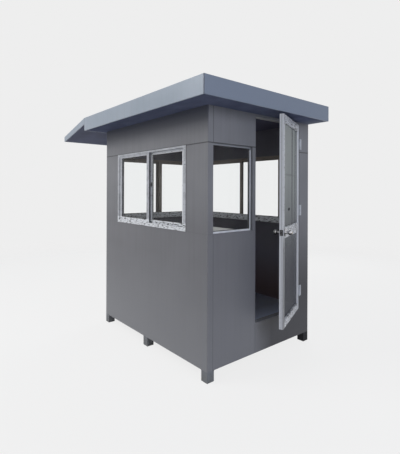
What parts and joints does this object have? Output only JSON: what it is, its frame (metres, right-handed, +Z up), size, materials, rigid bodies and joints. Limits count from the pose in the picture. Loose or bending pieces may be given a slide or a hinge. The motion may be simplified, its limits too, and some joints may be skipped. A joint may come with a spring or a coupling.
{
  "type": "security guard booth",
  "caption": "Small grey clad guard booth on short square feet with sliding windows, a glazed door that opens outwards, a side light and a flat roof with a sloping visor.",
  "frame": {"origin": "on the ground, under the cabin's corner between the front wall and the door end, at that corner of the corner foot", "axes": "+X out of the door end, the cabin lies along -X with the visor at the far end; +Y from the front wall to the back wall; +Z up"},
  "size_m": [3.1447, 1.777, 2.61],
  "materials": {
    "grey_panel": "smooth grey coated aluminium cladding, low sheen",
    "roof_panel": "grey coated aluminium fascia and visor cladding, satin",
    "soffit_panel": "grey coated aluminium soffit sheet, glossy enough to mirror the walls",
    "foot_steel": "grey painted square steel posts, slightly dusty",
    "joist_steel": "dark painted steel sections",
    "floor_board": "dark floor covering on board, matt",
    "window_aluminium": "pale anodised aluminium with remnants of protective film",
    "door_aluminium": "pale anodised aluminium door sections, satin",
    "hinge_metal": "white coated surface hinges",
    "knob_steel": "satin stainless steel",
    "window_glass": "clear float glass",
    "counter_board": "pale laminated board"
  },
  "bodies": {
    "cabin": {"feet": "foot_steel", "floor_joists": "joist_steel", "floor_deck": "floor_board", "front_lower_wall": "grey_panel", "front_window_piers": "grey_panel", "front_upper_wall": "grey_panel", "back_lower_wall": "grey_panel", "back_window_piers": "grey_panel", "back_upper_wall": "grey_panel", "visor_end_lower_wall": "grey_panel", "visor_end_window_piers": "grey_panel", "visor_end_upper_wall": "grey_panel", "side_light_lower_wall": "grey_panel", "side_light_upper_wall": "grey_panel", "doorway_mullion": "grey_panel", "doorway_sill_wall": "grey_panel", "hinge_side_wall": "grey_panel", "hinge_side_upper_wall": "grey_panel", "doorway_head": "grey_panel", "door_stops": "window_aluminium", "front_window_frame": "window_aluminium", "front_window_sashes": "window_aluminium", "front_window_glass": "window_glass", "back_window_frame": "window_aluminium", "back_window_sashes": "window_aluminium", "back_window_glass": "window_glass", "visor_end_window_frame": "window_aluminium", "visor_end_window_sashes": "window_aluminium", "visor_end_window_glass": "window_glass", "side_light_frame": "window_aluminium", "side_light_glass": "window_glass", "counter_top": "counter_board", "counter_brackets": "joist_steel", "front_fascia": "roof_panel", "back_fascia": "roof_panel", "door_end_fascia": "roof_panel", "visor_end_fascia": "roof_panel", "roof_soffit": "soffit_panel", "roof_deck": "roof_panel", "visor_side_trims": "roof_panel", "visor_tip_trim": "roof_panel", "visor_top_sheet": "roof_panel", "visor_bottom_sheet": "soffit_panel", "cabin_hinge_halves": "hinge_metal"},
    "door": {"door_stiles": "door_aluminium", "door_rails": "door_aluminium", "door_glass": "window_glass", "door_hinge_halves": "hinge_metal", "knob_roses": "knob_steel"},
    "knob": {"door_knobs": "knob_steel"}
  },
  "joints": [
    {"name": "door_swing", "type": "hinge", "parent": "cabin", "child": "door", "pos_m": [0.009, 1.3425, 1.4], "axis": [0, 0, 1], "range_deg": [-24, 81]},
    {"name": "knob_turn", "type": "hinge", "parent": "door", "child": "knob", "pos_m": [0.24912, 0.73188, 1.3], "axis": [0.9135, 0.4067, 0], "range_deg": [-60, 60], "stiffness_Nm_per_rad": 0.6}
  ]
}
